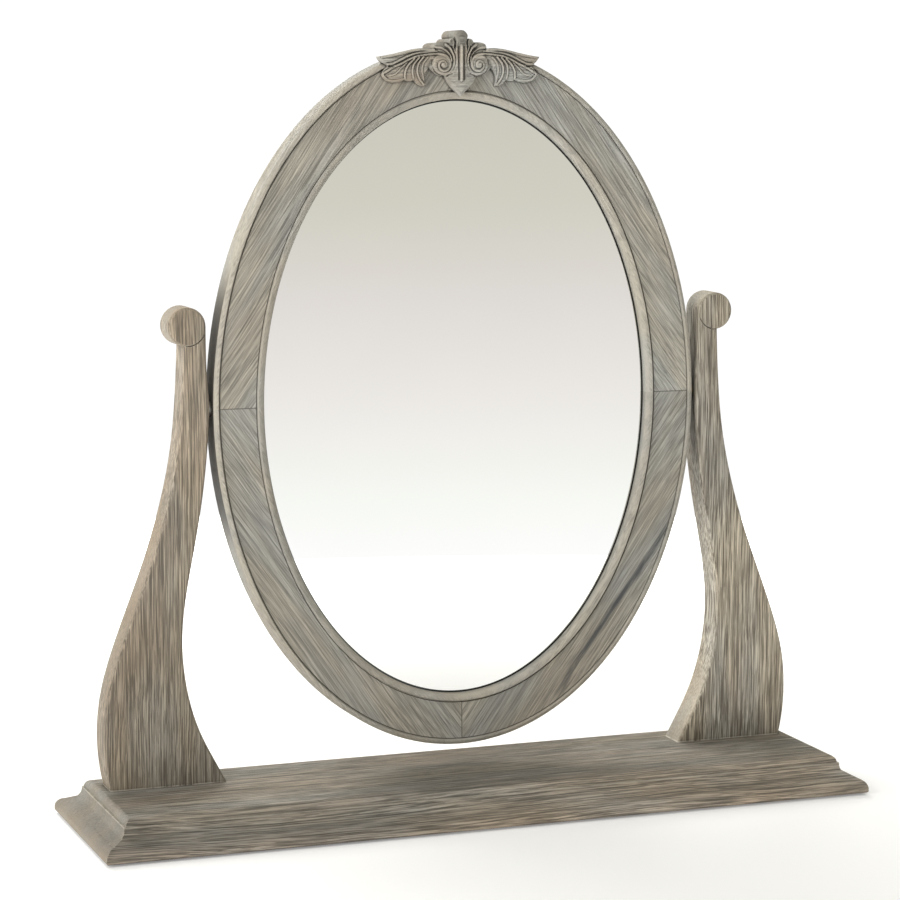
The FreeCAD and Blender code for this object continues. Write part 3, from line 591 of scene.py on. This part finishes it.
def carve_crest():
    """Relief carved on a fine grid, cut to the outline of the CAD carving behind it."""
    lean = Matrix.Translation(PIVOT) @ Matrix.Rotation(-math.radians(REST_LEAN), 4, "X") \
        @ Matrix.Translation(-PIVOT)
    blank = bmesh.new()
    blank.from_mesh(nodes["crest_carving"].data)
    bmesh.ops.transform(blank, matrix=lean.inverted(), verts=blank.verts)
    solid = BVHTree.FromBMesh(blank)
    low_x = min(v.co.x for v in blank.verts)
    high_x = max(v.co.x for v in blank.verts)
    low_z = min(v.co.z for v in blank.verts)
    high_z = max(v.co.z for v in blank.verts)
    back = max(v.co.y for v in blank.verts)
    face = back - CREST_BACK * MM
    frame_top = high_z - CREST_RISE * MM
    blank.free()

    step = CREST_GRID * MM
    columns = round((high_x - low_x) / step) + 3
    rows = round((high_z - low_z) / step) + 3
    bm = bmesh.new()
    ridge = bm.verts.layers.float.new("ridge")
    cavity_shade = bm.verts.layers.float.new("cavity_shade")
    bmesh.ops.create_grid(bm, x_segments=columns, y_segments=rows, size=0.5)
    spread = Matrix.Diagonal((columns * step, rows * step, 1, 1))
    upright = Matrix.Translation((0, face, (low_z + high_z) / 2)) @ Matrix.Rotation(QUARTER, 4, "X")
    bmesh.ops.transform(bm, matrix=upright @ spread, verts=bm.verts)

    inside = {v: solid.ray_cast(Vector((v.co.x, -1, v.co.z)), Vector((0, 1, 0)))[0] is not None
              for v in bm.verts}
    stray = [v for v in bm.verts if not inside[v]
             and not any(inside[w] for f in v.link_faces for w in f.verts)]
    bmesh.ops.delete(bm, geom=stray, context="VERTS")
    rim = set()
    for v in bm.verts:
        if not inside[v]:
            near = solid.find_nearest(Vector((v.co.x, face - 0.0025, v.co.z)))[0]
            v.co.x, v.co.z = near.x, near.z
            rim.add(v)
    bmesh.ops.dissolve_degenerate(bm, dist=0.00005, edges=bm.edges)

    verts = list(bm.verts)
    x = np.array([v.co.x for v in verts]) / MM
    z = np.array([v.co.z - frame_top for v in verts]) / MM
    height = carved_height(x, z)
    # How far each spot stands above or below its surroundings: wear on the ridges, painted shade in the dips.
    around = sum(carved_height(x + CAVITY_REACH * math.cos(a), z + CAVITY_REACH * math.sin(a))
                 for a in np.arange(8) * math.pi / 4) / 8
    relief = (height - around) / CAVITY_DEPTH
    for v, proud, high in zip(verts, height, relief):
        v[ridge] = max(0.0, min(1.0, float(high)))
        v[cavity_shade] = max(0.0, min(1.0, float(-high)))
        if v.is_boundary:
            proud = min(proud, 2.0)
            v[ridge], v[cavity_shade] = 0.4, 0.0
        v.co.y = face - proud * MM

    rear = bmesh.ops.extrude_face_region(bm, geom=list(bm.faces))["geom"]
    for v in (g for g in rear if isinstance(g, bmesh.types.BMVert)):
        beyond = (v.co.x / OVAL_HALF_W) ** 2 + ((v.co.z - PIVOT.z) / (frame_top - PIVOT.z)) ** 2 > 1.0
        v.co.y = back if beyond else face + FLAT_DROP * MM
        v[ridge], v[cavity_shade] = 0.0, 0.0
    bmesh.ops.recalc_face_normals(bm, faces=bm.faces)
    for f in bm.faces:
        f.smooth = True
    for e in bm.edges:
        if len(e.link_faces) == 2 and e.calc_face_angle(0) > math.radians(50):
            e.smooth = False
    bmesh.ops.transform(bm, matrix=lean, verts=bm.verts)
    mesh = bpy.data.meshes.new("carved_crest")
    bm.to_mesh(mesh)
    bm.free()
    crest = bpy.data.objects.new("carved_crest", mesh)
    bpy.context.scene.collection.objects.link(crest)
    mesh.materials.append(CREST_OAK)
    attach(crest, "mirror")
    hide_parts("crest_carving")
    return crest


# ---------------------------------------------------------------- mirror, fittings

def silvered_glass():
    """Silvered at the back, with a near-black band painted round the sight edge as the shade of the frame's
    recess seen through the glass.
    """
    material, tree, shader = new_material("silvered_glass")
    coords = add(tree, "TexCoord")
    oval = use_group(tree, OVAL_MARKS, Vector=coords.outputs["Object"], Normal=coords.outputs["Normal"])
    # Painted shade: a near-black, barely metallic band just inside the sight edge.
    rebate_shade = between(tree, oval.outputs["Outward"], -0.0282, -0.0276)
    haze = stretched_noise(tree, coords.outputs["Object"], (9.0, 9.0, 9.0), 3.0)
    silver = blend_colors(tree, between(tree, haze, 0.3, 0.7),
                          (0.955, 0.96, 0.955, 1), (0.965, 0.965, 0.96, 1))
    feed(tree, shader, Base_Color=blend_colors(tree, rebate_shade, silver, (0.012, 0.013, 0.013, 1)),
         Metallic=math_node(tree, "SUBTRACT", 1.0, math_node(tree, "MULTIPLY", rebate_shade, 0.9)),
         Roughness=between(tree, haze, 0.45, 0.8, 0.004, 0.02))
    return material


def plain_wood(name, pale, deep, turn):
    material, tree, shader = new_material(name)
    vector = piece_vector(tree, turn, (0.3, 0.1, 0.2))
    grain = use_group(tree, OAK_GRAIN, Vector=vector, Light=pale, Dark=deep, Warm=pale,
                      Warmth=0.3, Rings=0.35, Fibre=0.45, Streak=0.4, Pore=0.3)
    feed(tree, shader, Base_Color=grain.outputs["Color"], Roughness=grain.outputs["Roughness"],
         Normal=bumped(tree, grain.outputs["Height"], 0.3, 0.0004))
    return material


def metal(name, bright, dull, roughness):
    material, tree, shader = new_material(name)
    vector = piece_vector(tree)
    marks = stretched_noise(tree, vector, (900.0, 900.0, 2600.0), 3.0)
    tarnish = stretched_noise(tree, vector, (220.0, 220.0, 220.0), 3.0)
    feed(tree, shader, Base_Color=blend_colors(tree, between(tree, tarnish, 0.35, 0.7), bright, dull),
         Metallic=1.0, Roughness=between(tree, marks, 0.3, 0.7, roughness, roughness + 0.18),
         Normal=bumped(tree, marks, 0.25, 0.0001))
    return material


def speckled(name, base, fleck, size, roughness):
    material, tree, shader = new_material(name)
    vector = piece_vector(tree)
    fuzz = stretched_noise(tree, vector, (size, size, size), 4.0, 0.7)
    feed(tree, shader, Base_Color=blend_colors(tree, between(tree, fuzz, 0.35, 0.65), base, fleck),
         Roughness=between(tree, fuzz, 0.3, 0.7, roughness, min(1.0, roughness + 0.12)),
         Normal=bumped(tree, fuzz, 0.5, 0.0003))
    return material


dress(["mirror_glass"], silvered_glass())
dress(["backing_board"], plain_wood("plywood", (0.55, 0.42, 0.27, 1), (0.36, 0.25, 0.15, 1), (0, QUARTER, 0)))
dress(["upright_dowels", "frame_tenons"], plain_wood("beech", (0.66, 0.5, 0.34, 1), (0.5, 0.35, 0.22, 1),
                                                     (0, QUARTER, 0)))
dress(["upright_screws", "backing_screws", "crest_screws", "pivot_pins"],
      metal("zinc_plated_steel", (0.72, 0.71, 0.67, 1), (0.5, 0.48, 0.43, 1), 0.28))
dress(["pivot_bushes", "pivot_inserts"],
      metal("turned_brass", (0.86, 0.65, 0.3, 1), (0.6, 0.42, 0.18, 1), 0.25))
dress(["friction_washers"], speckled("nylon", (0.78, 0.77, 0.71, 1), (0.84, 0.83, 0.78, 1), 500.0, 0.45))
dress(["felt_pads"], speckled("pressed_felt", (0.07, 0.055, 0.045, 1), (0.14, 0.115, 0.09, 1), 1500.0, 0.88))


# ---------------------------------------------------------------- room, lights, camera

ROOM_FILL = 0.42
BACKDROP = 1.3
REFLECTED_ROOM = 1.045
FLOOR_RADIUS = 1.9
FLOOR_GLOW = 0.22
LENS = 117.31
CAMERA_PLACE = (-1.0327, -2.7053, 0.7556)
# Radians: down from level, to the right of straight ahead, and round the line of sight.
CAMERA_DOWN = 0.1353
CAMERA_RIGHT = 0.3584
CAMERA_ROLL = 0.0027


def make_floor():
    """A plain white disc to stand on, which glows towards its rim so that its edge never shows."""
    bm = bmesh.new()
    bmesh.ops.create_circle(bm, cap_ends=True, segments=96, radius=FLOOR_RADIUS)
    mesh = bpy.data.meshes.new("floor")
    bm.to_mesh(mesh)
    bm.free()
    floor = bpy.data.objects.new("floor", mesh)
    bpy.context.scene.collection.objects.link(floor)
    material, tree, shader = new_material("white_floor")
    coords = add(tree, "TexCoord")
    away = feed(tree, add(tree, "VectorMath", operation="LENGTH"), i0=coords.outputs["Object"])
    glow = between(tree, away.outputs["Value"], 0.5, 1.8, FLOOR_GLOW, 1.0)
    feed(tree, shader, Base_Color=(0.86, 0.86, 0.86, 1), Roughness=0.9, Emission_Color=feed(
        tree, add(tree, "CombineXYZ"), X=glow, Y=glow, Z=glow).outputs[0], Emission_Strength=1.0)
    mesh.materials.append(material)


def area_light(name, place, aim, size, power, color=(1, 1, 1)):
    data = bpy.data.lights.new(name, "AREA")
    data.shape = "RECTANGLE"
    data.size, data.size_y = size
    data.energy = power
    data.color = color
    lamp = bpy.data.objects.new(name, data)
    lamp.location = place
    lamp.visible_glossy = False
    lamp.rotation_euler = (Vector(aim) - Vector(place)).to_track_quat("-Z", "Y").to_euler()
    bpy.context.scene.collection.objects.link(lamp)
    return lamp


def make_world():
    """Soft room: beige-grey above the horizon and white towards the floor, plain white as a backdrop."""
    world = bpy.data.worlds.new("room")
    bpy.context.scene.world = world
    world.use_nodes = True
    tree = world.node_tree
    tree.nodes.clear()
    coords = add(tree, "TexCoord")
    split = feed(tree, add(tree, "SeparateXYZ"), Vector=coords.outputs["Generated"])
    ramp = add(tree, "ValToRGB")
    feed(tree, ramp, Fac=between(tree, split.outputs["Z"], -0.2, 0.2, smooth=False))
    stops = ((0.0, (1.0, 1.0, 1.0)), (0.165, (1.0, 1.0, 1.0)), (0.226, (0.93, 0.94, 0.90)),
             (0.308, (0.84, 0.815, 0.785)), (0.40, (0.73, 0.695, 0.665)), (0.478, (0.632, 0.618, 0.54)),
             (0.557, (0.592, 0.579, 0.504)))
    for i, (place, color) in enumerate(stops):
        element = ramp.color_ramp.elements[i] if i < 2 else ramp.color_ramp.elements.new(place)
        element.position = place
        element.color = (*color, 1)
    ray = add(tree, "LightPath")
    seen = blend_colors(tree, ray.outputs["Is Camera Ray"], ramp.outputs[0], (1, 1, 1, 1))
    fill = between(tree, split.outputs["Y"], -0.3, 0.6, ROOM_FILL, BACKDROP)
    plain = feed(tree, add(tree, "Mix", data_type="FLOAT"), i0=ray.outputs["Is Diffuse Ray"],
                 i2=REFLECTED_ROOM, i3=fill)
    background = feed(tree, add(tree, "Background"), Color=seen, Strength=plain.outputs[0])
    output = add(tree, "OutputWorld")
    tree.links.new(background.outputs[0], output.inputs["Surface"])


def make_camera():
    data = bpy.data.cameras.new("camera")
    data.sensor_width = 36.0
    data.lens = LENS
    camera = bpy.data.objects.new("camera", data)
    camera.location = CAMERA_PLACE
    aim = Euler((QUARTER - CAMERA_DOWN, 0, -CAMERA_RIGHT)).to_matrix()
    camera.rotation_euler = (aim @ Matrix.Rotation(CAMERA_ROLL, 3, "Z")).to_euler()
    bpy.context.scene.collection.objects.link(camera)
    bpy.context.scene.camera = camera


make_camera()
carve_crest()
make_floor()
make_world()
area_light("window_left", (-3.0, -1.4, 1.4), (0, 0, 0.35), (1.8, 1.8), 75)
area_light("soft_top", (-0.3, -0.5, 2.6), (0, 0.1, 0), (1.8, 1.4), 12)
area_light("backlight", (-0.3, 2.0, 1.7), (0, 0, 0.2), (3.0, 1.2), 60)
bpy.context.scene.view_settings.view_transform = "Standard"
